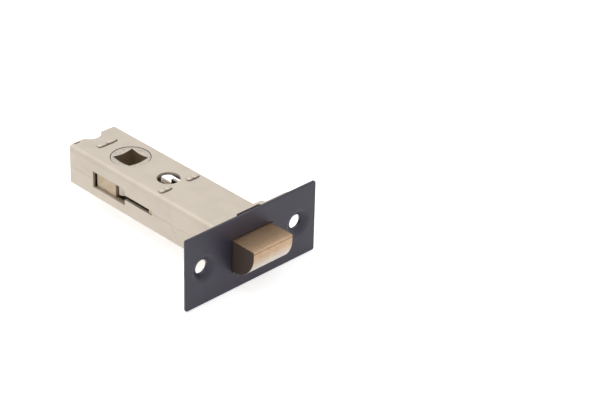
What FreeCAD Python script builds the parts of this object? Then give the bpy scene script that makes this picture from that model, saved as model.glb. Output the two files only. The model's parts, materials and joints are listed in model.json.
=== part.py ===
"""Tubular door latch, double sprung, with a wrapped sheet case.

The origin is the centre of the forend's front face. +X points out of the door edge, the way the
bolt is thrown. +Y runs along the forend, and +Z is up, along the spindle axis.
"""
import FreeCAD, Part
import math
import os

V = FreeCAD.Vector

# Overall places: the backset runs from the forend's front face to the spindle axis
backset = 57.0
case_behind_spindle = 19.0
bolt_hole_ahead_of_spindle = 18.4
spacer_behind_spindle = 12.0
nib_ahead_of_spindle = 22.0
bolt_travel = 9.5

# Forend plate
forend_length = 54.0
forend_width = 25.0
forend_thickness = 1.0
forend_corner_radius = 0.6
forend_edge_chamfer = 0.15
screw_spacing = 39.2
screw_hole_diameter = 4.8
screw_dimple_diameter = 9.0
dimple_half_angle = 56.0
dimple_rim_chamfer = 0.7

# Mounting plate behind the forend, with a pressed round recess
plate_end_inset = 0.8
plate_side_inset = 0.5
plate_thickness = 1.0
recess_diameter = 26.5
recess_depth = 1.4
recess_draft = 0.5
plate_hole_clearance = 0.2

# Case, one sheet wrapped round with its seam on the near side
case_width = 20.6
case_height = 14.4
case_sheet = 1.0
case_fold_radius = 1.0
rear_fold_radius = 0.2
bolt_hole_diameter = 7.6
rear_notch_radius = 3.65
rear_notch_depth = 2.3
rear_flap_gap = 10.0
flap_slit = 0.35
window_behind_spindle = 6.7
window_ahead_of_spindle = 9.0
window_height = 5.8
slot_height = 1.7
seam_gap = 0.05
tongue_setback = 24.0
tongue_width = 3.3
tongue_tip_width = 1.0
tongue_depth = 2.0
case_tab_width = 3.2
case_tab_offset = 3.2
case_tab_stand = 0.6
fit_gap = 0.05

# Latch bolt
bolt_width = 16.2
bolt_height = 11.0
bolt_drop = 0.5
bolt_throw = 9.3
bolt_flat_height = 1.8
bolt_bevel_run = 9.0
bolt_bevel_bulge = 2.7
bolt_edge_radius = 0.4
bolt_opening_clearance = 0.3
bolt_body_length = 5.4
bolt_body_clearance = 0.2
bolt_stop_gap = 0.3

# Tail of the bolt
tail_diameter = 4.0
tail_socket_depth = 4.0
tail_fit = 0.02
tail_running_clearance = 0.2
washer_diameter = 6.0
washer_thickness = 0.8
tail_head_diameter = 5.2
tail_head_length = 1.2
tail_head_chamfer = 0.6

# Drawbar, a folded sheet yoke
drawbar_sheet = 1.0
drawbar_height = 9.2
drawbar_fold_radius = 1.0
drawbar_side_clearance = 0.1
arm_behind_spindle = 5.9
crossbar_gap = 0.4
lobe_opening_clearance = 1.0
arm_slot_margin = 0.8
nib_web = 1.0
shoulder_clearance = 0.25
shoulder_relief = 0.15
shoulder_gap = 0.3
nib_length = 1.6
nib_height = 1.4
nib_reach = 0.8
nib_stop_gap = 0.15

# Springs
latch_spring_diameter = 8.0
latch_spring_wire = 0.7
latch_spring_half_turns = 7
return_spring_diameter = 9.0
return_spring_wire = 0.9
return_spring_half_turns = 5
spring_bore_clearance = 0.3
spring_bore_floor = 1.0
spring_end_gap = 0.05
wire_sides = 6

# Staked plates inside the case
bridge_thickness = 1.2
bridge_bolt_clearance = 0.2
bridge_hole_clearance = 0.3
bridge_side_clearance = 0.3
bridge_tab_inner = 3.5
spacer_thickness = 1.2
spacer_tab_length = 7.6
plate_inside_clearance = 0.1
stake_stand = 0.15

# Follower
spindle_size = 7.6
spindle_clearance = 0.1
spindle_corner_relief = 0.12
boss_diameter = 13.0
boss_running_clearance = 0.2
boss_sink = 0.15
follower_radius = 7.0
follower_end_clearance = 0.15
lobe_circle_radius = 9.0
lobe_tip_radius = 1.1
lobe_front_angle = 58.0
lobe_thickness = 3.2

# Places worked out from the sizes above
spindle_x = -backset
case_rear = spindle_x - case_behind_spindle
plate_front = -forend_thickness
recess_floor = plate_front - recess_depth
case_front = recess_floor - plate_thickness
plate_length = forend_length - 2 * plate_end_inset
case_half_width = case_width / 2
case_half_height = case_height / 2
inner_half_width = case_half_width - case_sheet
inner_half_height = case_half_height - case_sheet
bolt_hole_x = spindle_x + bolt_hole_ahead_of_spindle
window_rear = spindle_x - window_behind_spindle
window_front = spindle_x + window_ahead_of_spindle

bolt_top = bolt_height / 2 - bolt_drop
bolt_bottom = -bolt_height / 2 - bolt_drop
bolt_body_front = case_front - bolt_stop_gap
bolt_body_rear = bolt_body_front - bolt_body_length
bolt_body_half_width = inner_half_width - bolt_body_clearance
bolt_body_half_height = inner_half_height - bolt_body_clearance

crossbar_front = bolt_body_rear - bolt_travel - crossbar_gap
crossbar_rear = crossbar_front - drawbar_sheet
arm_outer = inner_half_width - drawbar_side_clearance
arm_inner = arm_outer - drawbar_sheet
arm_rear = spindle_x - arm_behind_spindle
nib_front = spindle_x + nib_ahead_of_spindle
slot_front = nib_front + nib_stop_gap

# The lobes swing as far behind the sideways direction as they rest ahead of it
rest_angle = math.asin(bolt_travel / (2 * lobe_circle_radius))
lobe_rest_angle = math.degrees(rest_angle)
lobe_tip_x = spindle_x + lobe_circle_radius * math.sin(rest_angle)
lobe_tip_y = lobe_circle_radius * math.cos(rest_angle)
lobe_reach = lobe_circle_radius + lobe_tip_radius
shoulder_inner = follower_radius + shoulder_clearance
shoulder_face = lobe_tip_x - lobe_tip_radius - shoulder_gap

# The arm's opening stays ahead of the lobe's face until that face has swung clear of the arm
lobe_leave_angle = math.degrees(math.acos(arm_inner / lobe_reach))
lobe_leave_x = spindle_x + math.sqrt(lobe_reach ** 2 - arm_inner ** 2)
lobe_leave_draw = bolt_travel * (lobe_front_angle - lobe_leave_angle) / (2 * lobe_rest_angle)
lobe_opening_front = lobe_leave_x + lobe_leave_draw + lobe_opening_clearance

bridge_rear = bolt_hole_x + bolt_hole_diameter / 2 + bridge_bolt_clearance
bridge_front = bridge_rear + bridge_thickness
spacer_front = spindle_x - spacer_behind_spindle + spacer_thickness / 2
spacer_rear = spacer_front - spacer_thickness
staked_half_width = arm_inner - bridge_side_clearance
spring_bore_radius = latch_spring_diameter / 2 + spring_bore_clearance


def box(x0, x1, y0, y1, z0, z1):
    return Part.makeBox(x1 - x0, y1 - y0, z1 - z0, V(x0, y0, z0))


def x_cylinder(radius, x0, x1, y=0.0, z=0.0):
    return Part.makeCylinder(radius, x1 - x0, V(x0, y, z), V(1, 0, 0))


def z_cylinder(radius, z0, z1, x=0.0, y=0.0):
    return Part.makeCylinder(radius, z1 - z0, V(x, y, z0), V(0, 0, 1))


def x_cone(radius_at_x0, radius_at_x1, x0, x1, y=0.0):
    return Part.makeCone(radius_at_x0, radius_at_x1, x1 - x0, V(x0, y, 0), V(1, 0, 0))


def prism(points, direction):
    """Straight-sided solid from a closed outline."""
    return Part.Face(Part.makePolygon(points + points[:1])).extrude(direction)


def edges_along(shape, axis):
    """Straight edges of a shape that run along one axis."""
    found = []
    for edge in shape.Edges:
        span = edge.Vertexes[-1].Point.sub(edge.Vertexes[0].Point)
        if span.Length > 0 and abs(span.dot(axis)) > 0.999 * span.Length:
            found.append(edge)
    return found


def bolt_opening(x0, x1, clearance):
    """Window that the bolt's nose slides through."""
    half = bolt_width / 2 + clearance
    return box(x0, x1, -half, half, bolt_bottom - clearance, bolt_top + clearance)


def screw_places():
    return (-screw_spacing / 2, screw_spacing / 2)


def forend_plate():
    """Outer face plate, with a dimple pressed into it round each screw hole."""
    half_length = forend_length / 2
    half_width = forend_width / 2
    plate = box(-forend_thickness, 0, -half_length, half_length, -half_width, half_width)
    plate = plate.makeFillet(forend_corner_radius, edges_along(plate, V(1, 0, 0)))
    rim = [edge for edge in plate.Edges if abs(edge.BoundBox.XMin) < 1e-6]
    plate = plate.makeChamfer(forend_edge_chamfer, rim)
    mouth = screw_dimple_diameter / 2
    hole = screw_hole_diameter / 2
    slope = math.radians(dimple_half_angle)
    depth = (mouth - hole) / math.tan(slope)
    rim_depth = dimple_rim_chamfer * math.cos(slope)
    rim_inner = mouth - dimple_rim_chamfer * math.sin(slope)
    for y in screw_places():
        plate = plate.cut(x_cylinder(mouth, -forend_thickness, 0, y))
        skin = x_cone(hole, mouth, -depth - forend_thickness, -forend_thickness, y)
        skin = skin.fuse(x_cylinder(mouth, -forend_thickness, 0, y))
        skin = skin.cut(x_cone(hole, mouth, -depth, 0, y))
        skin = skin.cut(x_cylinder(hole, -depth - forend_thickness, 0, y))
        plate = plate.fuse(skin)
        plate = plate.cut(x_cone(rim_inner, mouth + dimple_rim_chamfer, -rim_depth, 0, y))
    return plate.cut(bolt_opening(-forend_thickness, 0, bolt_opening_clearance)).removeSplitter()


def obround(x0, x1):
    """Slab with full-round ends, a little narrower than the forend."""
    radius = forend_width / 2 - plate_side_inset
    straight = plate_length / 2 - radius
    slab = box(x0, x1, -straight, straight, -radius, radius)
    for y in (-straight, straight):
        slab = slab.fuse(x_cylinder(radius, x0, x1, y))
    return slab.removeSplitter()


def case_tabs(grow):
    """Four tabs on the front edges of the side walls, grown all round for their slots."""
    tabs = []
    for side in (-1, 1):
        near, far = sorted((side * inner_half_width, side * case_half_width))
        for z in (-case_tab_offset, case_tab_offset):
            half = case_tab_width / 2 + grow
            tabs.append(box(case_front, recess_floor + case_tab_stand,
                            near - grow, far + grow, z - half, z + half))
    return tabs


def mounting_plate():
    """Inner plate that carries the case, its middle pressed back into a round recess."""
    radius = recess_diameter / 2
    outside = radius + plate_thickness
    dish = x_cone(outside - recess_draft, outside, case_front, plate_front)
    plate = obround(plate_front - plate_thickness, plate_front)
    plate = plate.fuse(dish).common(obround(case_front, plate_front))
    plate = plate.cut(x_cone(radius - recess_draft, radius, recess_floor, plate_front))
    plate = plate.cut(bolt_opening(case_front, recess_floor, bolt_opening_clearance))
    hole = screw_dimple_diameter / 2 + plate_hole_clearance
    for y in screw_places():
        plate = plate.cut(x_cylinder(hole, case_front, plate_front, y))
    for tab in case_tabs(fit_gap):
        plate = plate.cut(tab)
    return plate.removeSplitter()


def folded_box(half_width, half_height, rear, front, radius, rear_radius):
    """Box with rounded folds along its length and tighter ones at its rear corners."""
    body = box(rear, front, -half_width, half_width, -half_height, half_height)
    plan = body.makeFillet(rear_radius, [edge for edge in edges_along(body, V(0, 0, 1))
                                         if edge.Vertexes[0].X < (rear + front) / 2])
    return body.makeFillet(radius, edges_along(body, V(1, 0, 0))).common(plan)


def seam():
    """Thin gap between the two edges of the wrapped sheet, with its locating tongue."""
    half_mouth = tongue_width / 2
    half_tip = tongue_tip_width / 2
    middle = -tongue_setback
    line = [(case_rear, 0), (middle - half_mouth, 0), (middle - half_tip, -tongue_depth),
            (middle + half_tip, -tongue_depth), (middle + half_mouth, 0),
            (case_front + case_tab_stand, 0)]
    upper = [V(x, -case_half_width, z + seam_gap / 2) for x, z in line]
    lower = [V(x, -case_half_width, z - seam_gap / 2) for x, z in reversed(line)]
    return prism(upper + lower, V(0, case_sheet, 0))


def tab_boxes(x0, x1, y_spans, grow):
    """Staked tabs that stand through the case's top and bottom walls."""
    boxes = []
    for y0, y1 in y_spans:
        for side in (-1, 1):
            low, high = sorted((side * (inner_half_height - plate_inside_clearance),
                                side * (case_half_height + stake_stand)))
            boxes.append(box(x0 - grow, x1 + grow, y0 - grow, y1 + grow, low, high))
    return boxes


def bridge_tabs(grow):
    spans = ((-staked_half_width, -bridge_tab_inner), (bridge_tab_inner, staked_half_width))
    return tab_boxes(bridge_rear, bridge_front, spans, grow)


def spacer_tabs(grow):
    spans = ((-spacer_tab_length / 2, spacer_tab_length / 2),)
    return tab_boxes(spacer_rear, spacer_front, spans, grow)


def latch_case():
    """Wrapped sheet case with side windows, guide slots, hub holes and rear flaps."""
    outer = folded_box(case_half_width, case_half_height, case_rear, case_front,
                       case_fold_radius + case_sheet, rear_fold_radius + case_sheet)
    hollow = folded_box(inner_half_width, inner_half_height, case_rear + case_sheet,
                        case_front + case_sheet, case_fold_radius, rear_fold_radius)
    case = outer.cut(hollow).fuse(case_tabs(0.0))

    flap_half_gap = rear_flap_gap / 2
    case = case.cut(box(case_rear, case_rear + case_sheet, -flap_half_gap, flap_half_gap,
                        -inner_half_height, inner_half_height))
    flap_outer = inner_half_width - rear_fold_radius
    for side in (-1, 1):
        y0, y1 = sorted((side * flap_half_gap, side * flap_outer))
        for z in (inner_half_height - flap_slit, -inner_half_height):
            case = case.cut(box(case_rear, case_rear + case_sheet, y0, y1, z, z + flap_slit))

    notch_x = case_rear + rear_notch_depth - rear_notch_radius
    boss_hole = boss_diameter / 2 + boss_running_clearance
    for radius, x in ((boss_hole, spindle_x), (bolt_hole_diameter / 2, bolt_hole_x),
                      (rear_notch_radius, notch_x)):
        case = case.cut(z_cylinder(radius, -case_half_height, case_half_height, x))

    for side in (-1, 1):
        y0, y1 = sorted((side * inner_half_width, side * case_half_width))
        case = case.cut(box(window_rear, window_front, y0, y1, -window_height / 2, window_height / 2))
        case = case.cut(box(window_front, slot_front, y0, y1, -slot_height / 2, slot_height / 2))

    for slot in bridge_tabs(fit_gap) + spacer_tabs(fit_gap):
        case = case.cut(slot)
    return case.cut(seam())


def latch_bolt():
    """Bolt: a nose with a curved bevel underneath, and a wider body that guides it in the case."""
    top_front = V(bolt_throw, 0, bolt_top)
    flat_end = V(bolt_throw, 0, bolt_top - bolt_flat_height)
    bevel_end = V(bolt_throw - bolt_bevel_run, 0, bolt_bottom)
    chord = bevel_end.sub(flat_end)
    outward = V(-chord.z, 0, chord.x).normalize()
    middle = flat_end.add(chord * 0.5).add(outward * bolt_bevel_bulge)
    rear_bottom = V(bolt_body_front, 0, bolt_bottom)
    rear_top = V(bolt_body_front, 0, bolt_top)
    outline = Part.Wire([
        Part.makeLine(rear_top, top_front),
        Part.makeLine(top_front, flat_end),
        Part.Arc(flat_end, middle, bevel_end).toShape(),
        Part.makeLine(bevel_end, rear_bottom),
        Part.makeLine(rear_bottom, rear_top),
    ])
    nose = Part.Face(outline).extrude(V(0, bolt_width, 0))
    nose.translate(V(0, -bolt_width / 2, 0))
    nose_rim = [edge for edge in nose.Edges if edge.BoundBox.XMin > bolt_body_front + 1e-6]
    top_rim = [edge for edge in nose_rim if edge.BoundBox.ZMin > bolt_top - 1e-6]
    nose = nose.makeFillet(bolt_edge_radius, top_rim)

    half_width = bolt_body_half_width
    half_height = bolt_body_half_height
    body = box(bolt_body_rear, bolt_body_front, -half_width, half_width, -half_height, half_height)
    body = body.makeFillet(case_fold_radius, edges_along(body, V(1, 0, 0)))
    bolt = body.fuse(nose)
    bolt = bolt.cut(x_cylinder(spring_bore_radius, bolt_body_rear, -spring_bore_floor))
    socket = tail_diameter / 2 + tail_fit
    bolt = bolt.cut(x_cylinder(socket, -spring_bore_floor, -spring_bore_floor + tail_socket_depth))
    return bolt.removeSplitter()


def tail_rod():
    """Stem set in the bolt, its end peened over behind the washer."""
    head_front = crossbar_rear - fit_gap - washer_thickness
    rod = x_cylinder(tail_diameter / 2, head_front, -spring_bore_floor + tail_socket_depth - tail_fit)
    head = x_cylinder(tail_head_diameter / 2, head_front - tail_head_length, head_front)
    back = [edge for edge in head.Edges if edge.BoundBox.XMax < head_front - 1e-6]
    head = head.makeChamfer(tail_head_chamfer, back)
    return rod.fuse(head).removeSplitter()


def tail_washer():
    front = crossbar_rear - fit_gap
    washer = x_cylinder(washer_diameter / 2, front - washer_thickness, front)
    return washer.cut(x_cylinder(tail_diameter / 2 + tail_fit, front - washer_thickness, front))


def coil_spring(outside_diameter, wire, half_turns, x0, x1):
    """Open compression spring along X, with its wire's ends just clear of both seats.

    Each half turn is half of a tilted ring. The rings meet square to Z, so the wire runs on smoothly.
    """
    ring_radius = (outside_diameter - wire) / 2
    step = (x1 - x0 - wire - 2 * spring_end_gap) / half_turns
    reach = math.sqrt(ring_radius ** 2 - (step / 2) ** 2)
    start = V(x0 + wire / 2 + spring_end_gap, reach, 0)
    corners = [math.radians(360 * i / wire_sides) for i in range(wire_sides)]
    section = [start.add(V(math.cos(a), math.sin(a), 0) * (wire / 2)) for a in corners]
    outline = Part.makePolygon(section + section[:1])
    skin = [Part.Face(outline)]
    for half in range(half_turns):
        side = 1 if half % 2 == 0 else -1
        centre = V(start.x + (half + 0.5) * step, 0, 0)
        axis = V(2 * reach, side * step, 0)
        skin += outline.revolve(centre, axis, 180).Faces
        outline = outline.copy()
        outline.rotate(centre, axis, 180)
    skin.append(Part.Face(outline))
    shell = Part.Shell(skin)
    shell.sewShape()
    return Part.Solid(shell)


def latch_spring():
    """Light spring that throws the bolt, between the bolt and the drawbar's crossbar."""
    return coil_spring(latch_spring_diameter, latch_spring_wire, latch_spring_half_turns,
                       crossbar_front, -spring_bore_floor)


def return_spring():
    """Stiff spring that carries the lever handle back up, between the crossbar and the bridge."""
    return coil_spring(return_spring_diameter, return_spring_wire, return_spring_half_turns,
                       bridge_front, crossbar_rear)


def drawbar():
    """Yoke folded from one strip: a crossbar in front and an arm down each side of the follower."""
    half = drawbar_height / 2
    outer = box(arm_rear, crossbar_front, -arm_outer, arm_outer, -half, half)
    corners = [e for e in edges_along(outer, V(0, 0, 1)) if e.Vertexes[0].X > crossbar_rear]
    outer = outer.makeFillet(drawbar_fold_radius + drawbar_sheet, corners)
    hollow = box(arm_rear, crossbar_rear, -arm_inner, arm_inner, -half, half)
    corners = [e for e in edges_along(hollow, V(0, 0, 1)) if e.Vertexes[0].X > arm_rear + 1e-6]
    hollow = hollow.makeFillet(drawbar_fold_radius, corners)
    yoke = outer.cut(hollow)
    hole = tail_diameter / 2 + tail_running_clearance
    yoke = yoke.cut(x_cylinder(hole, crossbar_rear, crossbar_front))

    opening_half = window_height / 2
    lip_half = opening_half - shoulder_relief
    nib_half = nib_height / 2
    arm_slot_half = slot_height / 2 + arm_slot_margin
    for side in (-1, 1):
        y0, y1 = sorted((side * arm_inner, side * arm_outer))
        yoke = yoke.cut(box(shoulder_face - drawbar_sheet, lobe_opening_front, y0, y1,
                            -opening_half, opening_half))
        yoke = yoke.cut(box(lobe_opening_front, nib_front - nib_length - nib_web, y0, y1,
                            -arm_slot_half, arm_slot_half))
        y0, y1 = sorted((side * shoulder_inner, side * arm_outer))
        yoke = yoke.fuse(box(shoulder_face - drawbar_sheet, shoulder_face, y0, y1,
                             -lip_half, lip_half))
        y0, y1 = sorted((side * arm_inner, side * (arm_outer + nib_reach)))
        yoke = yoke.fuse(box(nib_front - nib_length, nib_front, y0, y1, -nib_half, nib_half))
    return yoke.removeSplitter()


def staked_plate(rear, front, tabs):
    """Flat plate across the inside of the case, held by tabs staked over outside it."""
    half_height = inner_half_height - plate_inside_clearance
    plate = box(rear, front, -staked_half_width, staked_half_width, -half_height, half_height)
    return plate.fuse(tabs).removeSplitter()


def spring_bridge():
    """Plate that the return spring pushes against, open in the middle for the bolt's tail."""
    bridge = staked_plate(bridge_rear, bridge_front, bridge_tabs(0.0))
    hole = washer_diameter / 2 + bridge_hole_clearance
    return bridge.cut(x_cylinder(hole, bridge_rear, bridge_front))


def rear_spacer():
    """Plate that keeps the case's walls apart behind the follower."""
    return staked_plate(spacer_rear, spacer_front, spacer_tabs(0.0))


def spindle_square(half_height):
    """Square hole for the spindle, its sides bowed so that the corners stand clear."""
    flat = spindle_size / 2 + spindle_clearance
    corner = flat + spindle_corner_relief
    sides = []
    for turn in range(4):
        angle = math.radians(90 * turn)
        across = V(math.cos(angle), math.sin(angle), 0)
        along = V(-math.sin(angle), math.cos(angle), 0)
        start = across * corner - along * corner
        end = across * corner + along * corner
        sides.append(Part.Arc(start, across * flat, end).toShape())
    hole = Part.Face(Part.Wire(sides)).extrude(V(0, 0, 2 * half_height))
    hole.translate(V(spindle_x, 0, -half_height))
    return hole


def polar(radius, degrees, side):
    """Point at an angle forward of the sideways direction, on one side of the spindle axis."""
    angle = math.radians(degrees)
    return V(spindle_x + radius * math.sin(angle), side * radius * math.cos(angle), -lobe_thickness / 2)


def follower_lobe(side):
    """Cam lobe with a straight back, a round pushing tip and a face that follows its own circle."""
    axis = V(spindle_x, 0, -lobe_thickness / 2)
    back_tip = V(lobe_tip_x - lobe_tip_radius, side * lobe_tip_y, axis.z)
    back_root = V(back_tip.x, back_tip.y / 2, axis.z)
    centre = polar(lobe_circle_radius, lobe_rest_angle, side)
    tip = polar(lobe_reach, lobe_rest_angle, side)
    round_side = back_tip.add(tip).sub(centre * 2).normalize()
    round_middle = centre.add(round_side * lobe_tip_radius)
    front = polar(lobe_reach, lobe_front_angle, side)
    face_middle = polar(lobe_reach, (lobe_rest_angle + lobe_front_angle) / 2, side)
    outline = Part.Wire([
        Part.makeLine(axis, back_root),
        Part.makeLine(back_root, back_tip),
        Part.Arc(back_tip, round_middle, tip).toShape(),
        Part.Arc(tip, face_middle, front).toShape(),
        Part.makeLine(front, axis),
    ])
    return Part.Face(outline).extrude(V(0, 0, lobe_thickness))


def follower():
    """Hub turned by the spindle, with one lobe for each arm of the drawbar."""
    body_half = inner_half_height - follower_end_clearance
    boss_half = case_half_height - boss_sink
    hub = z_cylinder(follower_radius, -body_half, body_half, spindle_x)
    hub = hub.fuse(z_cylinder(boss_diameter / 2, -boss_half, boss_half, spindle_x))
    for side in (-1, 1):
        hub = hub.fuse(follower_lobe(side))
    return hub.cut(spindle_square(boss_half)).removeSplitter()


PIECES = (forend_plate, mounting_plate, latch_case, spring_bridge, rear_spacer, latch_bolt, tail_rod,
          tail_washer, latch_spring, drawbar, return_spring, follower)


def main():
    os.makedirs("parts", exist_ok=True)
    for piece in PIECES:
        shape = piece()
        if len(shape.Solids) == 1:
            shape = shape.Solids[0]
        print(piece.__name__, len(shape.Solids), round(shape.Volume, 1), shape.isValid())
        shape.exportStep(f"parts/{piece.__name__}.step")


main()
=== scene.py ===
import json
import math

import bmesh
import bpy
from bpy.props import FloatProperty, FloatVectorProperty, IntProperty, PointerProperty
from mathutils import Matrix, Vector


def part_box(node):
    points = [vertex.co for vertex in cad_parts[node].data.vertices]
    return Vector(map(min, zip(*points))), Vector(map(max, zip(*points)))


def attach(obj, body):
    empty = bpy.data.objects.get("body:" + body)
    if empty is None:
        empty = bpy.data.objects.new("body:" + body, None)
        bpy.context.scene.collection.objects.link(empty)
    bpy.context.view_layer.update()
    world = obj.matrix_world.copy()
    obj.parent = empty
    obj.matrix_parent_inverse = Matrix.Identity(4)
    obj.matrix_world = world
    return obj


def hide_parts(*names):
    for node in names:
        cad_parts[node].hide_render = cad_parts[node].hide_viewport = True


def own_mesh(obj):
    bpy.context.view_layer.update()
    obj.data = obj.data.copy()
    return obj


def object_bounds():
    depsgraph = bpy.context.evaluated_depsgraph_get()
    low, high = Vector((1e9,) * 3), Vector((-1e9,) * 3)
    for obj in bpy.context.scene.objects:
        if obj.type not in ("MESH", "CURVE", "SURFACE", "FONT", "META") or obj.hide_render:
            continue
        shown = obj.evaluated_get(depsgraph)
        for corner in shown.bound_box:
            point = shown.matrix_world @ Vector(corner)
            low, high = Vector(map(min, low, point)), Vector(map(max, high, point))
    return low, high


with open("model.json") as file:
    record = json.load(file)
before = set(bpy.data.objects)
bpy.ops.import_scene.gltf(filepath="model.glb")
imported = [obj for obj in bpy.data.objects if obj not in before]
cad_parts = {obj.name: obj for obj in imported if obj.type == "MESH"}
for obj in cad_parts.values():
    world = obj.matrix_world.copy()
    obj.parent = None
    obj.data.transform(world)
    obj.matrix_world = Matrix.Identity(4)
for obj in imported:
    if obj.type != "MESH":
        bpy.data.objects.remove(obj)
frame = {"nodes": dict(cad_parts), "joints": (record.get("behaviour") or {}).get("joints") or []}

bl_info = {
    "name": "Tubular Door Latch",
    "version": (1, 0, 0),
    "blender": (4, 5, 0),
    "location": "View3D > Sidebar > Latch",
    "description": "Finishes a tubular door latch and sets it on a plain white stage",
    "category": "Object",
}

CAD_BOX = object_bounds()
MM = 0.001
IMAGE_WIDTH = 600
SENSOR_WIDTH = 36.0
CLIP_START = 10 * MM
# Tolerances of the mesh work
WELD = 1e-7
SLIVER = 1e-6
FLAT_ANGLE = math.radians(0.5)
SHARP_ANGLE = math.radians(32)
SMOOTH_ANGLE = math.radians(50)
HOLE_REACH = 1.05
CUT_CLEAR = 0.2 * MM
# How finely round shapes are divided, and how square a pillow is
EDGE_SEGMENTS = 2
PILLOW_SEGMENTS = 40
PILLOW_POWER = 4
PILLOW_BLEND = 0.6
CONE_SEGMENTS = 72
WIRE_SEGMENTS = 14
STEPS_PER_TURN = 40
# Height of the relief that a bump stands for
BUMP_DEPTH = 0.05 * MM
# Depths, heights and edges at which the materials change
CASE_SKIN = 0.95 * MM
HOLE_SKIN = 0.2 * MM
HOLE_MARGIN = 0.03 * MM
HUB_TOP = 0.1 * MM
GAP_SHADE_WIDTH = 0.06 * MM
GAP_SHADE_DEPTH = 1.2 * MM
SHADE_FADE = 0.02 * MM
SHEEN_TOP = 2.6 * MM
SHEEN_FOOT = -4.2 * MM
LINE_DEPTH = 0.75 * MM
LINE_HALF = 0.16 * MM
FLANK_INNER = 0.12 * MM
FLANK_OUTER = 0.02 * MM
# Floor and lamps
WHITE = "#ffffff"
FLOOR_GAP = 0.3 * MM
FLOOR_HALF = 3.0
LAMP_AIM = (-0.03, 0.0, 0.0)
OVERHEAD_PLACE = (-0.15, -0.10, 0.80)
OVERHEAD_SIZE = 0.7
SIDE_PLACE = (-0.25, -0.85, 0.30)
SIDE_SIZE = 0.6


def linear(hex_colour):
    """An sRGB hex colour as linear red, green and blue."""
    parts = [int(hex_colour[i:i + 2], 16) / 255 for i in (1, 3, 5)]
    return tuple(p / 12.92 if p <= 0.04045 else ((p + 0.055) / 1.055) ** 2.4 for p in parts)


def tint(name, description, hex_colour):
    """A colour property, given as sRGB hex."""
    return FloatVectorProperty(name=name, description=description, subtype="COLOR", size=3, min=0, max=1,
                               default=linear(hex_colour))


def length(name, description, millimetres):
    """A length property, given in millimetres."""
    return FloatProperty(name=name, description=description, unit="LENGTH", subtype="DISTANCE", min=0,
                         precision=5, default=millimetres * MM)


class LatchFinishes(bpy.types.PropertyGroup):
    """Colours of the latch's finishes."""
    nickel: tint("Nickel", "Satin nickel plate of the case", "#cfc5b8")
    nickel_stain: tint("Nickel stain", "Dull patches in the nickel plate", "#c3b9a9")
    coat: tint("Coat", "Black powder coat of the forend", "#353144")
    coat_dark: tint("Coat shade", "Darker patches of the powder coat", "#2d2934")
    bronze: tint("Bronze", "Burnished bronze of the bolt", "#c9a987")
    bronze_dark: tint("Bronze patina", "Brown patina and specks on the bolt", "#7d6450")
    # Painted shade on the bolt's flanks
    bronze_flank_shade: tint("Bronze flank", "As-cast flanks of the bolt", "#54463f")
    # Painted reflection of the white floor, low on the bolt
    bronze_sheen: tint("Bronze wear", "Pale metal worn bare low on the nose", "#f0eae4")
    zinc: tint("Zinc", "Warm zinc plate of the inner pieces", "#c4b49c")
    zinc_stain: tint("Zinc stain", "Yellow passivation in the zinc plate", "#b79f78")
    follower: tint("Follower", "Tumbled zinc casting of the follower", "#ccc4b8")
    follower_dark: tint("Follower shade", "Dull pores of the follower", "#b0a598")
    wire: tint("Spring wire", "Bright drawn spring wire", "#b9b6b0")
    # Painted shade: this dark colour stands in for the shade inside the case, in the open slots and in the
    # gap round the hub
    inside: tint("Inside", "Oiled bare metal inside the case", "#665b4e")
    # Painted shade: a darker brown for the shade on the walls of the square spindle hole
    hole_shade: tint("Broached", "Oiled walls of the square spindle hole", "#a08f78")


class LatchSizes(bpy.types.PropertyGroup):
    """Sizes of the details that the solids leave out."""
    sheet_edge: length("Sheet edge", "Rounding of punched sheet edges", 0.10)
    bolt_edge: length("Bolt edge", "Rounding of the bolt's corners", 0.18)
    small_edge: length("Small edge", "Rounding of the small inner pieces", 0.08)
    stake_inner: length("Stake start", "Distance of each front stake from the middle", 3.5)
    stake_rear: length("Rear stake", "Length of the rear stake", 7.6)
    stake_stand: length("Stake height", "How far a staked tab stands proud", 0.6)
    stake_spread: length("Stake spread", "How far a staked tab spreads past its slot", 0.4)
    slot_gap: length("Slot gap", "Open part of a tab's slot that shows in front of its staked end", 0.6)
    # The open part of each slot is filled with painted shade
    slot_shade: length("Slot shade", "Height of the dirt that fills the open part of a slot", 0.05)
    slit_run: length("Slit length", "Length of the slit where the rear flap is folded", 2.4)
    slit_side: length("Slit place", "Distance of that slit from the middle", 7.0)
    lead_in: length("Lead-in", "Depth of the cone round the spindle hole at the middle of a side", 0.5)
    latch_wire: length("Latch wire", "Wire of the spring that throws the bolt", 0.7)
    return_wire: length("Return wire", "Wire of the spring that lifts the handle", 0.9)
    latch_turns: IntProperty(name="Latch turns", description="Turns of the latch spring", default=8, min=2)
    return_turns: IntProperty(name="Return turns", description="Turns of the return spring", default=4, min=2)


class LatchStage(bpy.types.PropertyGroup):
    """Camera, lamps, surroundings and floor."""
    azimuth: FloatProperty(name="Azimuth", description="Camera's turn about the vertical", subtype="ANGLE",
                           default=math.radians(44.90))
    elevation: FloatProperty(name="Elevation", description="Camera's height above the horizon",
                             subtype="ANGLE", default=math.radians(30.71))
    roll: FloatProperty(name="Roll", description="Camera's roll", subtype="ANGLE",
                        default=math.radians(1.64))
    distance: length("Distance", "From the camera to the forend's face", 656.2)
    across: FloatProperty(name="Across", description="Camera's shift to its right", unit="LENGTH",
                          default=14.64 * MM)
    above: FloatProperty(name="Above", description="Camera's shift upwards", unit="LENGTH",
                         default=13.82 * MM)
    focal_pixels: FloatProperty(name="Focal length", description="Focal length in image pixels",
                                default=2145.5)
    ambient: FloatProperty(name="Ambient", description="Light of the surroundings on dull surfaces",
                           default=0.55)
    floor_colour: tint("Floor", "Matt white of the floor", "#f3f3f3")
    floor_glow: FloatProperty(name="Floor glow", description="White that the camera sees in the floor",
                              default=0.6)
    overhead_power: FloatProperty(name="Overhead lamp", description="Watts of the lamp above", default=2.7)
    side_power: FloatProperty(name="Side lamp", description="Watts of the lamp beside", default=0.12)


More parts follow.
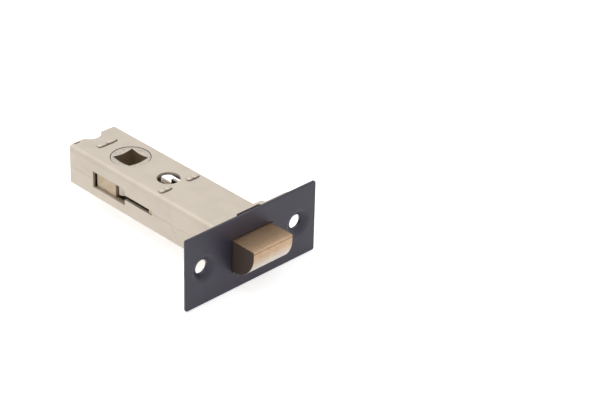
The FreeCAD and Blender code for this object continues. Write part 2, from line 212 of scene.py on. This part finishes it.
def add(tree, kind, inputs=None, **settings):
    """Adds a node, sets its attributes, and sets or links each named or numbered input."""
    node = tree.nodes.new(kind)
    for name, value in settings.items():
        setattr(node, name, value)
    for key, value in (inputs or {}).items():
        socket = node.inputs[key]
        if isinstance(value, bpy.types.NodeSocket):
            tree.links.new(value, socket)
        else:
            socket.default_value = value
    return node


def per_mm(size):
    """Texture scale whose pattern repeats about every size millimetres."""
    return 1 / (size * MM)


def rgba(colour):
    """A colour with full alpha, as a socket takes it."""
    return (*colour, 1.0)


def start_material(name):
    """A new material with a Principled shader, and the surface's own place."""
    material = bpy.data.materials.new(name)
    material.use_nodes = True
    tree = material.node_tree
    shader = tree.nodes["Principled BSDF"]
    place = add(tree, "ShaderNodeTexCoord").outputs["Object"]
    return material, tree, shader, place


def link_to(tree, shader, sources):
    """Links each named input of a shader to its source."""
    for name, source in sources.items():
        tree.links.new(source, shader.inputs[name])


def inside_box(tree, place, low, high):
    """One inside a box given by its low and high corners, nought outside it."""
    middle = [(a + b) / 2 for a, b in zip(low, high)]
    half = [(b - a) / 2 for a, b in zip(low, high)]
    moved = add(tree, "ShaderNodeMapping", {"Vector": place, "Location": middle, "Scale": half},
                vector_type="TEXTURE")
    away = add(tree, "ShaderNodeVectorMath", {0: moved.outputs["Vector"]}, operation="ABSOLUTE")
    axes = add(tree, "ShaderNodeSeparateXYZ", {"Vector": away.outputs["Vector"]})
    wide = add(tree, "ShaderNodeMath", {0: axes.outputs["X"], 1: axes.outputs["Y"]}, operation="MAXIMUM")
    widest = add(tree, "ShaderNodeMath", {0: wide.outputs["Value"], 1: axes.outputs["Z"]},
                 operation="MAXIMUM")
    within = add(tree, "ShaderNodeMath", {0: widest.outputs["Value"], 1: 1.0}, operation="LESS_THAN")
    return within.outputs["Value"]


def satin_nickel(finishes):
    """Nickel plate on cold rolled sheet: pale and warm, softly mottled, with faint rolling lines; dark
    painted shade inside the case.
    """
    material, tree, shader, place = start_material("satin_nickel_on_rolled_steel")
    cloud = add(tree, "ShaderNodeTexNoise", {"Vector": place, "Scale": per_mm(7), "Detail": 4.0})
    patches = add(tree, "ShaderNodeMapRange", {"Value": cloud.outputs["Fac"], "From Min": 0.42,
                                               "From Max": 0.75})
    rolled = add(tree, "ShaderNodeMapping", {"Vector": place, "Scale": (0.04, 1.0, 1.0)})
    # Rolling lines are finer than this; they are drawn 0.4 mm apart so that they show
    lines = add(tree, "ShaderNodeTexNoise", {"Vector": rolled.outputs["Vector"], "Scale": per_mm(0.4),
                                             "Detail": 2.0})
    stain = add(tree, "ShaderNodeMath", {0: patches.outputs["Result"], 1: 0.55}, operation="MULTIPLY")
    plated = add(tree, "ShaderNodeMix", {0: stain.outputs["Value"], 6: rgba(finishes.nickel),
                                         7: rgba(finishes.nickel_stain)}, data_type="RGBA")
    # Inside the case the plate takes the dark inside colour, a painted shade for the dim interior
    low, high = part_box("latch_case")
    within = inside_box(tree, place, [c + CASE_SKIN for c in low], [c - CASE_SKIN for c in high])
    colour = add(tree, "ShaderNodeMix", {0: within, 6: plated.outputs[2], 7: rgba(finishes.inside)},
                 data_type="RGBA")
    gloss = add(tree, "ShaderNodeMapRange", {"Value": lines.outputs["Fac"], "To Min": 0.50, "To Max": 0.64})
    relief = add(tree, "ShaderNodeBump", {"Height": lines.outputs["Fac"], "Strength": 0.10,
                                          "Distance": BUMP_DEPTH})
    link_to(tree, shader, {"Base Color": colour.outputs[2], "Roughness": gloss.outputs["Result"],
                           "Normal": relief.outputs["Normal"]})
    shader.inputs["Metallic"].default_value = 0.72
    return material


def black_powder_coat(finishes):
    """Baked powder coat on sheet: deep grey-violet black, satin, with a fine orange-peel skin."""
    material, tree, shader, place = start_material("black_powder_coat")
    cloud = add(tree, "ShaderNodeTexNoise", {"Vector": place, "Scale": per_mm(5), "Detail": 5.0})
    grain = add(tree, "ShaderNodeTexNoise", {"Vector": place, "Scale": per_mm(0.45), "Detail": 2.0})
    colour = add(tree, "ShaderNodeMix", {0: cloud.outputs["Fac"], 6: rgba(finishes.coat),
                                         7: rgba(finishes.coat_dark)}, data_type="RGBA")
    gloss = add(tree, "ShaderNodeMapRange", {"Value": grain.outputs["Fac"], "To Min": 0.36, "To Max": 0.52})
    relief = add(tree, "ShaderNodeBump", {"Height": grain.outputs["Fac"], "Strength": 0.18,
                                          "Distance": BUMP_DEPTH})
    link_to(tree, shader, {"Base Color": colour.outputs[2], "Roughness": gloss.outputs["Result"],
                           "Normal": relief.outputs["Normal"]})
    return material


def burnished_bronze(finishes):
    """Sintered bronze, burnished on top and nose: golden brown, dark pores; a painted pale reflection low on
    the nose, painted shade on the dull flanks.
    """
    material, tree, shader, place = start_material("burnished_sintered_bronze")
    cloud = add(tree, "ShaderNodeTexNoise", {"Vector": place, "Scale": per_mm(3.5), "Detail": 5.0})
    grained = add(tree, "ShaderNodeMapping", {"Vector": place, "Scale": (1.0, 0.3, 1.0)})
    # Pores are finer than this; they are drawn 0.5 mm apart so that they show
    pores = add(tree, "ShaderNodeTexNoise", {"Vector": grained.outputs["Vector"], "Scale": per_mm(0.5),
                                             "Detail": 4.0})
    specks = add(tree, "ShaderNodeMapRange", {"Value": pores.outputs["Fac"], "From Min": 0.5,
                                              "From Max": 0.9})
    patina = add(tree, "ShaderNodeMapRange", {"Value": cloud.outputs["Fac"], "From Min": 0.40,
                                              "From Max": 0.8, "To Max": 0.45})
    dark = add(tree, "ShaderNodeMath", {0: specks.outputs["Result"], 1: patina.outputs["Result"]},
               operation="MAXIMUM")
    face = add(tree, "ShaderNodeMix", {0: dark.outputs["Value"], 6: rgba(finishes.bronze),
                                       7: rgba(finishes.bronze_dark)}, data_type="RGBA")
    across = add(tree, "ShaderNodeSeparateXYZ", {"Vector": place})
    half_width, nose_top = nose_size()
    # Painted reflection: the bolt grows pale towards its foot, where the white floor shows in its metal
    sheen = add(tree, "ShaderNodeMapRange", {"Value": across.outputs["Z"], "From Min": SHEEN_TOP,
                                            "From Max": SHEEN_FOOT, "To Max": 0.95})
    reflecting = add(tree, "ShaderNodeMix", {0: sheen.outputs["Result"], 6: face.outputs[2],
                                       7: rgba(finishes.bronze_sheen)}, data_type="RGBA")
    # A thin dark line is painted along the nose just under its top edge
    dark_line = add(tree, "ShaderNodeMath", {0: across.outputs["Z"], 1: nose_top - LINE_DEPTH,
                                          2: LINE_HALF}, operation="COMPARE")
    front = add(tree, "ShaderNodeMix", {0: dark_line.outputs["Value"], 6: reflecting.outputs[2],
                                        7: rgba(finishes.bronze_dark)}, data_type="RGBA")
    # Painted shade: the flanks of the nose turn dark, and are made duller too
    offset = add(tree, "ShaderNodeMath", {0: across.outputs["Y"]}, operation="ABSOLUTE")
    flank = add(tree, "ShaderNodeMapRange", {"Value": offset.outputs["Value"],
                                             "From Min": half_width - FLANK_INNER,
                                             "From Max": half_width - FLANK_OUTER})
    colour = add(tree, "ShaderNodeMix", {0: flank.outputs["Result"], 6: front.outputs[2],
                                         7: rgba(finishes.bronze_flank_shade)}, data_type="RGBA")
    gloss = add(tree, "ShaderNodeMapRange", {"Value": dark.outputs["Value"], "To Min": 0.26, "To Max": 0.5})
    dull = add(tree, "ShaderNodeMath", {0: flank.outputs["Result"], 1: 0.3, 2: gloss.outputs["Result"]},
               operation="MULTIPLY_ADD")
    metal = add(tree, "ShaderNodeMapRange", {"Value": flank.outputs["Result"], "To Min": 0.6, "To Max": 0.35})
    relief = add(tree, "ShaderNodeBump", {"Height": pores.outputs["Fac"], "Strength": 0.10,
                                          "Distance": BUMP_DEPTH})
    link_to(tree, shader, {"Base Color": colour.outputs[2], "Metallic": metal.outputs["Result"],
                           "Roughness": dull.outputs["Value"], "Normal": relief.outputs["Normal"]})
    return material


def mottled_metal(name, colour_a, colour_b, patch_mm, grain_mm, metallic, dull, bump):
    """Small plated or cast pieces: two tones in patches, with a fine grain."""
    material, tree, shader, place = start_material(name)
    cloud = add(tree, "ShaderNodeTexNoise", {"Vector": place, "Scale": per_mm(patch_mm), "Detail": 4.0})
    patches = add(tree, "ShaderNodeMapRange", {"Value": cloud.outputs["Fac"], "From Min": 0.4,
                                               "From Max": 0.8})
    grain = add(tree, "ShaderNodeTexNoise", {"Vector": place, "Scale": per_mm(grain_mm), "Detail": 2.0})
    colour = add(tree, "ShaderNodeMix", {0: patches.outputs["Result"], 6: rgba(colour_a), 7: rgba(colour_b)},
                 data_type="RGBA")
    gloss = add(tree, "ShaderNodeMapRange", {"Value": grain.outputs["Fac"], "To Min": dull - 0.08,
                                             "To Max": dull + 0.08})
    relief = add(tree, "ShaderNodeBump", {"Height": grain.outputs["Fac"], "Strength": bump,
                                          "Distance": BUMP_DEPTH})
    link_to(tree, shader, {"Base Color": colour.outputs[2], "Roughness": gloss.outputs["Result"],
                           "Normal": relief.outputs["Normal"]})
    shader.inputs["Metallic"].default_value = metallic
    return material


def zinc_plate(finishes):
    """Zinc plate with yellow passivation: warm beige, dull, patchy."""
    return mottled_metal("yellow_passivated_zinc_plate", finishes.zinc, finishes.zinc_stain,
                         patch_mm=2.2, grain_mm=0.3, metallic=0.6, dull=0.5, bump=0.12)


def hammered_zinc(finishes, case_top, slot_shade):
    """Zinc plate that a punch has spread: bright bumps, with painted shade at their foot and in the open slot
    in front.
    """
    material, tree, shader, place = start_material("hammered_zinc_plate")
    across = add(tree, "ShaderNodeSeparateXYZ", {"Vector": place})
    height = add(tree, "ShaderNodeMath", {0: across.outputs["Z"]}, operation="ABSOLUTE")
    # Painted shade: the colour turns dark close to the case's surface, at the foot of the bumps and over the
    # thin slot pillows
    shade_top = case_top + slot_shade
    crease_shade = add(tree, "ShaderNodeMapRange", {"Value": height.outputs["Value"], "From Min": shade_top,
                                            "From Max": shade_top + SHADE_FADE, "To Min": 1.0, "To Max": 0.0})
    colour = add(tree, "ShaderNodeMix", {0: crease_shade.outputs["Result"], 6: rgba(finishes.nickel),
                                         7: rgba(finishes.inside)}, data_type="RGBA")
    tree.links.new(colour.outputs[2], shader.inputs["Base Color"])
    shader.inputs["Metallic"].default_value = 0.6
    shader.inputs["Roughness"].default_value = 0.5
    return material


def tumbled_casting(finishes):
    """Zinc casting tumbled smooth: soft grey, dull pores, painted shade on the walls of its hole and in a
    ring round the hub's side.
    """
    material = mottled_metal("tumbled_zinc_casting", finishes.follower, finishes.follower_dark,
                             patch_mm=1.1, grain_mm=0.35, metallic=0.7, dull=0.45, bump=0.16)
    tree = material.node_tree
    shader = tree.nodes["Principled BSDF"]
    cast = shader.inputs["Base Color"].links[0].from_socket
    place = add(tree, "ShaderNodeTexCoord").outputs["Object"]
    low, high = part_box("follower")
    axis_x, _, corner = spindle_hole()
    half = corner / math.sqrt(2) + HOLE_MARGIN
    # Painted shade: the walls of the square hole take a darker brown that stands for the shade inside the
    # hole
    within = inside_box(tree, place, (axis_x - half, -half, low[2] + HOLE_SKIN),
                        (axis_x + half, half, high[2] - HOLE_SKIN))
    holed = add(tree, "ShaderNodeMix", {0: within, 6: cast, 7: rgba(finishes.hole_shade)}, data_type="RGBA")
    flat = add(tree, "ShaderNodeMapping", {"Vector": place, "Location": (-axis_x, 0, 0), "Scale": (1, 1, 0)})
    radius = add(tree, "ShaderNodeVectorMath", {0: flat.outputs["Vector"]}, operation="LENGTH")
    hub = max(math.hypot(v.co.x - axis_x, v.co.y) for v in frame["nodes"]["follower"].data.vertices
              if v.co.z > high[2] - HUB_TOP)
    # Painted shade: the hub's side near its faces turns dark, for the shade in the gap round the hub
    rim = add(tree, "ShaderNodeMath", {0: radius.outputs["Value"], 1: hub - GAP_SHADE_WIDTH},
              operation="GREATER_THAN")
    across = add(tree, "ShaderNodeSeparateXYZ", {"Vector": place})
    height = add(tree, "ShaderNodeMath", {0: across.outputs["Z"]}, operation="ABSOLUTE")
    wall = add(tree, "ShaderNodeMath", {0: height.outputs["Value"], 1: high[2] - GAP_SHADE_DEPTH},
               operation="GREATER_THAN")
    gap_shade = add(tree, "ShaderNodeMath", {0: rim.outputs["Value"], 1: wall.outputs["Value"]},
               operation="MULTIPLY")
    colour = add(tree, "ShaderNodeMix", {0: gap_shade.outputs["Value"], 6: holed.outputs[2],
                                         7: rgba(finishes.inside)}, data_type="RGBA")
    tree.links.new(colour.outputs[2], shader.inputs["Base Color"])
    return material


def drawn_wire(finishes):
    """Hard drawn spring wire: bright grey with a faint grain."""
    return mottled_metal("drawn_spring_wire", finishes.wire, finishes.zinc_stain,
                         patch_mm=1.5, grain_mm=0.2, metallic=1.0, dull=0.34, bump=0.06)


MAKERS = {"nickel_plate": satin_nickel, "black_coat": black_powder_coat, "bolt_bronze": burnished_bronze,
          "zinc_plate": zinc_plate, "follower_metal": tumbled_casting, "spring_steel": drawn_wire}
made = {}


def material_for(slot):
    """The finish of one of the record's material slots, made once."""
    if slot not in made:
        made[slot] = MAKERS[slot](bpy.context.scene.latch_finishes)
    return made[slot]


def spindle_hole():
    """Place along X, half width and corner distance of the square hole, whose sides are a little bowed."""
    axis_x = next(j for j in frame["joints"] if j["name"] == "follower_turn")["pos_m"][0]
    points = [Vector((v.co.x - axis_x, v.co.y)) for v in frame["nodes"]["follower"].data.vertices]
    half = min(p.length for p in points)
    # The bow of a side keeps the hole's points within a little more than its half width
    return axis_x, half, max(p.length for p in points if max(abs(p.x), abs(p.y)) < HOLE_REACH * half)


def nose_size():
    """Half the width, and the top, of the bolt's nose, which is what stands in front of the forend."""
    points = [v.co for v in frame["nodes"]["latch_bolt"].data.vertices if v.co.x > MM]
    return max(p.y for p in points), max(p.z for p in points)


def set_piece(bm, name, body, slot, node=None):
    """Turns a bmesh into a piece that rides on a body, takes a slot's finish and may stand for a node."""
    mesh = bpy.data.meshes.new(name)
    bm.to_mesh(mesh)
    bm.free()
    mesh.polygons.foreach_set("use_smooth", [True] * len(mesh.polygons))
    mesh.set_sharp_from_angle(angle=SMOOTH_ANGLE)
    mesh.materials.append(material_for(slot))
    piece = bpy.data.objects.new(name, mesh)
    bpy.context.scene.collection.objects.link(piece)
    shading = piece.modifiers.new("face_weighted_normals", "WEIGHTED_NORMAL")
    shading.keep_sharp = True
    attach(piece, body)
    if node:
        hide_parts(node)
    return piece


def rounded_copy(node, edge):
    """A copy of a node: merged, its flat faces joined and its sharp edges rounded."""
    bm = bmesh.new()
    bm.from_mesh(frame["nodes"][node].data)
    bmesh.ops.remove_doubles(bm, verts=bm.verts, dist=WELD)
    bmesh.ops.dissolve_limit(bm, angle_limit=FLAT_ANGLE, verts=bm.verts, edges=bm.edges)
    corners = [e for e in bm.edges if e.is_manifold and e.calc_face_angle() > SHARP_ANGLE]
    bmesh.ops.bevel(bm, geom=corners, offset=edge, offset_type="OFFSET", affect="EDGES",
                    segments=EDGE_SEGMENTS, profile=0.5, material=-1, clamp_overlap=True)
    bmesh.ops.remove_doubles(bm, verts=bm.verts, dist=SLIVER)
    bmesh.ops.dissolve_degenerate(bm, dist=SLIVER, edges=bm.edges)
    return bm


def dressed(node, name, body, slot, edge):
    """A finished copy of a node, in its place."""
    set_piece(rounded_copy(node, edge), name, body, slot, node)


class LATCH_OT_forend(bpy.types.Operator):
    """Finish the forend and the mounting plate behind it"""
    bl_idname = "latch.forend"
    bl_label = "Forend"

    def execute(self, context):
        edge = context.scene.latch_sizes.sheet_edge
        dressed("forend_plate", "forend_face", "case_body", "black_coat", edge)
        dressed("mounting_plate", "mounting_plate_dish", "case_body", "nickel_plate", edge)
        return {"FINISHED"}


class LATCH_OT_case(bpy.types.Operator):
    """Finish the wrapped sheet case"""
    bl_idname = "latch.case"
    bl_label = "Case"

    def execute(self, context):
        dressed("latch_case", "case_sheet", "case_body", "nickel_plate", context.scene.latch_sizes.sheet_edge)
        return {"FINISHED"}


def pillow(bm, middle, run, width, stand):
    """A low rounded-off bar along Y."""
    verts = bmesh.ops.create_uvsphere(bm, u_segments=PILLOW_SEGMENTS, v_segments=PILLOW_SEGMENTS // 2,
                                      radius=1.0)["verts"]
    for v in verts:
        reach = sum(abs(c) ** PILLOW_POWER for c in v.co) ** (1 / PILLOW_POWER)
        v.co *= reach ** -PILLOW_BLEND
    bmesh.ops.scale(bm, verts=verts, vec=(width / 2, run / 2, stand))
    bmesh.ops.translate(bm, verts=verts, vec=middle)


class LATCH_OT_staked_plates(bpy.types.Operator):
    """Finish the two plates staked across the case, and their hammered tab ends"""
    bl_idname = "latch.staked_plates"
    bl_label = "Staked plates"

    def execute(self, context):
        sizes = context.scene.latch_sizes
        dressed("spring_bridge", "bridge_plate", "case_body", "zinc_plate", sizes.small_edge)
        dressed("rear_spacer", "spacer_plate", "case_body", "zinc_plate", sizes.small_edge)
        case_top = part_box("latch_case")[1][2]
        low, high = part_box("spring_bridge")
        front_run = high[1] - sizes.stake_inner
        front_middle = (high[1] + sizes.stake_inner) / 2
        rear_low, rear_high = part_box("rear_spacer")
        rear_x = (rear_low[0] + rear_high[0]) / 2
        bridge_x = (low[0] + high[0]) / 2
        width = high[0] - low[0] + 2 * sizes.stake_spread
        places = [(bridge_x, -front_middle, front_run), (bridge_x, front_middle, front_run),
                  (rear_x, 0.0, sizes.stake_rear)]
        bm = bmesh.new()
        for x, y, run in places:
            for z in (case_top, -case_top):
                for side in (y - run / 4, y + run / 4):
                    pillow(bm, (x, side, z), run / 2, width, sizes.stake_stand)
                # A thin pillow in the painted shade stands for the shade in the open part of the slot in
                # front of the tab
                pillow(bm, (x + sizes.slot_gap, y, z), run + sizes.slot_gap, width, sizes.slot_shade)
        # Another such dark pillow stands for the shade in the slit where the rear flap is folded
        slit_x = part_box("latch_case")[0][0] + sizes.slot_gap
        pillow(bm, (slit_x, -sizes.slit_side, case_top), sizes.slit_run, sizes.slot_gap, sizes.slot_shade)
        ends = set_piece(bm, "staked_tab_ends", "case_body", "zinc_plate")
        ends.data.materials.clear()
        ends.data.materials.append(hammered_zinc(context.scene.latch_finishes, case_top, sizes.slot_shade))
        return {"FINISHED"}


class LATCH_OT_bolt(bpy.types.Operator):
    """Finish the bolt, its tail and its washer"""
    bl_idname = "latch.bolt"
    bl_label = "Bolt"

    def execute(self, context):
        sizes = context.scene.latch_sizes
        dressed("latch_bolt", "bolt_nose", "bolt_body", "bolt_bronze", sizes.bolt_edge)
        dressed("tail_rod", "tail_stem", "bolt_body", "zinc_plate", sizes.small_edge)
        dressed("tail_washer", "tail_ring", "bolt_body", "zinc_plate", sizes.small_edge)
        return {"FINISHED"}


class LATCH_OT_drawbar(bpy.types.Operator):
    """Finish the folded yoke that draws the bolt"""
    bl_idname = "latch.drawbar"
    bl_label = "Drawbar"

    def execute(self, context):
        dressed("drawbar", "drawbar_yoke", "drawbar_body", "zinc_plate", context.scene.latch_sizes.small_edge)
        return {"FINISHED"}


def cut_away(whole, cutter):
    """One bmesh less another, by way of two passing objects."""
    passing = []
    for bm in (whole, cutter):
        mesh = bpy.data.meshes.new("passing")
        bm.to_mesh(mesh)
        bm.free()
        passing.append(bpy.data.objects.new("passing", mesh))
        bpy.context.scene.collection.objects.link(passing[-1])
    cut = passing[0].modifiers.new("cut", "BOOLEAN")
    cut.object = passing[1]
    cut.solver = "EXACT"
    result = bmesh.new()
    result.from_object(passing[0], bpy.context.evaluated_depsgraph_get())
    for thing in passing:
        mesh = thing.data
        bpy.data.objects.remove(thing)
        bpy.data.meshes.remove(mesh)
    bmesh.ops.remove_doubles(result, verts=result.verts, dist=WELD)
    return result


def lead_in_cones(depth):
    """A shallow cone at each mouth of the square hole, from its corners in."""
    low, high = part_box("follower")
    axis_x, half, corner = spindle_hole()
    slope = depth / (corner - half)
    tall = corner * slope + CUT_CLEAR
    wide = corner + CUT_CLEAR / slope
    bm = bmesh.new()
    for face, side in ((high[2], 1), (low[2], -1)):
        radii = (0.0, wide) if side > 0 else (wide, 0.0)
        middle = (axis_x, 0, face + side * (CUT_CLEAR - tall / 2))
        bmesh.ops.create_cone(bm, cap_ends=True, segments=CONE_SEGMENTS, radius1=radii[0], radius2=radii[1],
                              depth=tall, matrix=Matrix.Translation(middle))
    bmesh.ops.recalc_face_normals(bm, faces=bm.faces)
    return bm


class LATCH_OT_follower(bpy.types.Operator):
    """Finish the follower with its square hole and lobes"""
    bl_idname = "latch.follower"
    bl_label = "Follower"

    def execute(self, context):
        sizes = context.scene.latch_sizes
        hub = cut_away(rounded_copy("follower", sizes.small_edge), lead_in_cones(sizes.lead_in))
        set_piece(hub, "follower_hub", "follower_body", "follower_metal", "follower")
        return {"FINISHED"}


def coil(name, node, body, wire, turns):
    """A smooth round-wire spring in place of a node."""
    low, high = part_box(node)
    ring = (high[2] - low[2] - wire) / 2
    pitch = (high[0] - low[0] - wire) / turns
    bm = bmesh.new()
    section = bmesh.ops.create_circle(bm, cap_ends=True, segments=WIRE_SEGMENTS, radius=wire / 2)["verts"]
    bmesh.ops.translate(bm, verts=section, vec=(low[0] + wire / 2, ring, 0))
    steps = STEPS_PER_TURN * turns
    bmesh.ops.spin(bm, geom=bm.verts[:] + bm.edges[:] + bm.faces[:], cent=(0, 0, 0), axis=(1, 0, 0),
                   dvec=(pitch / STEPS_PER_TURN, 0, 0), angle=math.tau * turns, steps=steps, use_merge=False)
    bmesh.ops.remove_doubles(bm, verts=bm.verts, dist=WELD)
    bmesh.ops.recalc_face_normals(bm, faces=bm.faces)
    piece = set_piece(bm, name, body, "spring_steel", node)
    piece.modifiers.clear()
    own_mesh(piece)


class LATCH_OT_springs(bpy.types.Operator):
    """Wind the latch spring and the return spring"""
    bl_idname = "latch.springs"
    bl_label = "Springs"

    def execute(self, context):
        sizes = context.scene.latch_sizes
        coil("latch_coil", "latch_spring", "drawbar_body", sizes.latch_wire, sizes.latch_turns)
        coil("return_coil", "return_spring", "case_body", sizes.return_wire, sizes.return_turns)
        return {"FINISHED"}


def set_camera(stage):
    """The photograph's view: a long lens from in front, to one side and above."""
    turn, rise = stage.azimuth, stage.elevation
    right = Vector((math.cos(turn), math.sin(turn), 0))
    back = Vector((math.sin(turn) * math.cos(rise), -math.cos(turn) * math.cos(rise), math.sin(rise)))
    up = back.cross(right)
    rolled_right = right * math.cos(stage.roll) + up * math.sin(stage.roll)
    rolled_up = up * math.cos(stage.roll) - right * math.sin(stage.roll)
    place = rolled_right * stage.across + rolled_up * stage.above + back * stage.distance
    camera = bpy.data.cameras.new("photo_camera")
    camera.sensor_width = SENSOR_WIDTH
    camera.lens = stage.focal_pixels * SENSOR_WIDTH / IMAGE_WIDTH
    camera.clip_start = CLIP_START
    holder = bpy.data.objects.new("photo_camera", camera)
    holder.matrix_world = Matrix((
        (rolled_right.x, rolled_up.x, back.x, place.x),
        (rolled_right.y, rolled_up.y, back.y, place.y),
        (rolled_right.z, rolled_up.z, back.z, place.z),
        (0, 0, 0, 1),
    ))
    bpy.context.scene.collection.objects.link(holder)
    bpy.context.scene.camera = holder


def soft_box(name, place, size, watts):
    """One square studio lamp, turned towards the latch."""
    lamp = bpy.data.lights.new(name, "AREA")
    lamp.shape = "SQUARE"
    lamp.size = size
    lamp.energy = watts
    holder = bpy.data.objects.new(name, lamp)
    holder.location = place
    holder.rotation_euler = (Vector(LAMP_AIM) - Vector(place)).to_track_quat("-Z", "Y").to_euler()
    bpy.context.scene.collection.objects.link(holder)


def seen_directly(tree):
    """One where a surface is seen by the camera, in a reflection or through glass; nought elsewhere."""
    path = add(tree, "ShaderNodeLightPath")
    glossy = add(tree, "ShaderNodeMath", {0: path.outputs["Is Camera Ray"], 1: path.outputs["Is Glossy Ray"]},
                 operation="MAXIMUM")
    either = add(tree, "ShaderNodeMath", {0: glossy.outputs["Value"], 1: path.outputs["Is Transmission Ray"]},
                 operation="MAXIMUM")
    return either.outputs["Value"]


def white_surroundings(stage):
    """White where it is seen, and a gentler light on dull surfaces."""
    world = bpy.data.worlds.new("white_surroundings")
    world.use_nodes = True
    tree = world.node_tree
    strength = add(tree, "ShaderNodeMapRange", {"Value": seen_directly(tree), "To Min": stage.ambient,
                                                "To Max": 1.0})
    background = tree.nodes["Background"]
    background.inputs["Color"].default_value = rgba(linear(WHITE))
    tree.links.new(strength.outputs["Result"], background.inputs["Strength"])
    bpy.context.scene.world = world


def pale_floor(stage):
    """A white sweep under the latch: it takes the shadow, and looks white where none falls."""
    bm = bmesh.new()
    bmesh.ops.create_grid(bm, x_segments=1, y_segments=1, size=FLOOR_HALF)
    bmesh.ops.translate(bm, verts=bm.verts, vec=(0, 0, CAD_BOX[0][2] - FLOOR_GAP))
    mesh = bpy.data.meshes.new("pale_floor")
    bm.to_mesh(mesh)
    bm.free()
    material = bpy.data.materials.new("matt_white_sweep")
    material.use_nodes = True
    tree = material.node_tree
    shader = tree.nodes["Principled BSDF"]
    shader.inputs["Base Color"].default_value = rgba(stage.floor_colour)
    shader.inputs["Roughness"].default_value = 0.9
    shader.inputs["Emission Color"].default_value = rgba(linear(WHITE))
    glow = add(tree, "ShaderNodeMath", {0: seen_directly(tree), 1: stage.floor_glow}, operation="MULTIPLY")
    tree.links.new(glow.outputs["Value"], shader.inputs["Emission Strength"])
    mesh.materials.append(material)
    floor = bpy.data.objects.new("pale_floor", mesh)
    bpy.context.scene.collection.objects.link(floor)


class LATCH_OT_stage(bpy.types.Operator):
    """Set the camera, the lamps, the white surroundings and the floor"""
    bl_idname = "latch.stage"
    bl_label = "Stage"

    def execute(self, context):
        stage = context.scene.latch_stage
        set_camera(stage)
        soft_box("overhead_lamp", OVERHEAD_PLACE, OVERHEAD_SIZE, stage.overhead_power)
        soft_box("side_lamp", SIDE_PLACE, SIDE_SIZE, stage.side_power)
        white_surroundings(stage)
        pale_floor(stage)
        context.scene.view_settings.view_transform = "Standard"
        return {"FINISHED"}


STEPS = (LATCH_OT_forend, LATCH_OT_case, LATCH_OT_staked_plates, LATCH_OT_bolt, LATCH_OT_drawbar,
         LATCH_OT_follower, LATCH_OT_springs, LATCH_OT_stage)


class VIEW3D_PT_latch(bpy.types.Panel):
    """Builds the latch's looks step by step"""
    bl_idname = "VIEW3D_PT_latch"
    bl_label = "Tubular door latch"
    bl_space_type = "VIEW_3D"
    bl_region_type = "UI"
    bl_category = "Latch"

    def draw(self, context):
        for step in STEPS:
            self.layout.operator(step.bl_idname)
        for group in (context.scene.latch_finishes, context.scene.latch_sizes, context.scene.latch_stage):
            box = self.layout.box()
            for name in group.__annotations__:
                box.prop(group, name)


GROUPS = {"latch_finishes": LatchFinishes, "latch_sizes": LatchSizes, "latch_stage": LatchStage}


def register():
    for cls in (*GROUPS.values(), *STEPS, VIEW3D_PT_latch):
        bpy.utils.register_class(cls)
    for name, group in GROUPS.items():
        setattr(bpy.types.Scene, name, PointerProperty(type=group))


def unregister():
    for name in GROUPS:
        delattr(bpy.types.Scene, name)
    for cls in (VIEW3D_PT_latch, *reversed(STEPS), *reversed(GROUPS.values())):
        bpy.utils.unregister_class(cls)


def main():
    register()
    bpy.ops.latch.forend()
    bpy.ops.latch.case()
    bpy.ops.latch.staked_plates()
    bpy.ops.latch.bolt()
    bpy.ops.latch.drawbar()
    bpy.ops.latch.follower()
    bpy.ops.latch.springs()
    bpy.ops.latch.stage()


if __name__ == "__main__":
    main()
